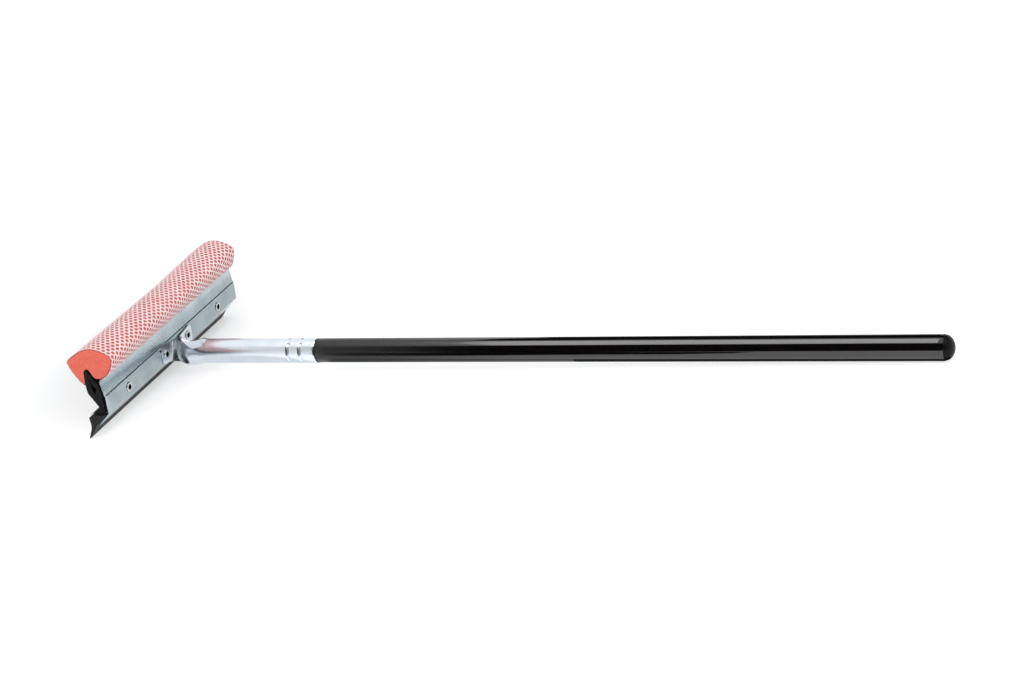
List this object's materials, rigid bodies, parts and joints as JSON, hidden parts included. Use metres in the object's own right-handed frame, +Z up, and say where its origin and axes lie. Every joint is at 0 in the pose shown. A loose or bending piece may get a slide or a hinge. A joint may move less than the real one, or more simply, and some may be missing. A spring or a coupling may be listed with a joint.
{
  "type": "scrubbing squeegee",
  "caption": "Hand squeegee for windows: a rubber blade below and a netted foam scrubber above a riveted zinc-plated head, on a crimped ferrule and a black lacquered wooden handle.",
  "frame": {"origin": "middle of the flat edge of the blade, which rests on the table", "axes": "+X along the handle from the head to its domed end, +Y along the head, +Z up out of the table; the tool lies on its blade edge and on the end of its handle"},
  "size_m": [0.6239, 0.2102, 0.0719],
  "materials": {
    "zinc_plate": "satin zinc plating",
    "zinc_bright": "bright zinc plating",
    "zinc_rivet": "zinc plating",
    "blade_rubber": "smooth black rubber",
    "core_rubber": "matt black rubber",
    "foam": "open-cell foam",
    "netting": "knitted plastic net",
    "black_lacquer": "gloss black lacquer on wood"
  },
  "bodies": {
    "root": {"back_plate": "zinc_plate", "blade_retainer": "zinc_plate", "front_bar": "zinc_plate", "ferrule": "zinc_bright", "rivet_inner_near": "zinc_rivet", "rivet_inner_far": "zinc_rivet", "rivet_outer_near": "zinc_rivet", "rivet_outer_far": "zinc_rivet", "blade": "blade_rubber", "sponge_core": "core_rubber", "sponge": "foam", "net_sleeve": "netting", "handle": "black_lacquer"}
  },
  "joints": []
}
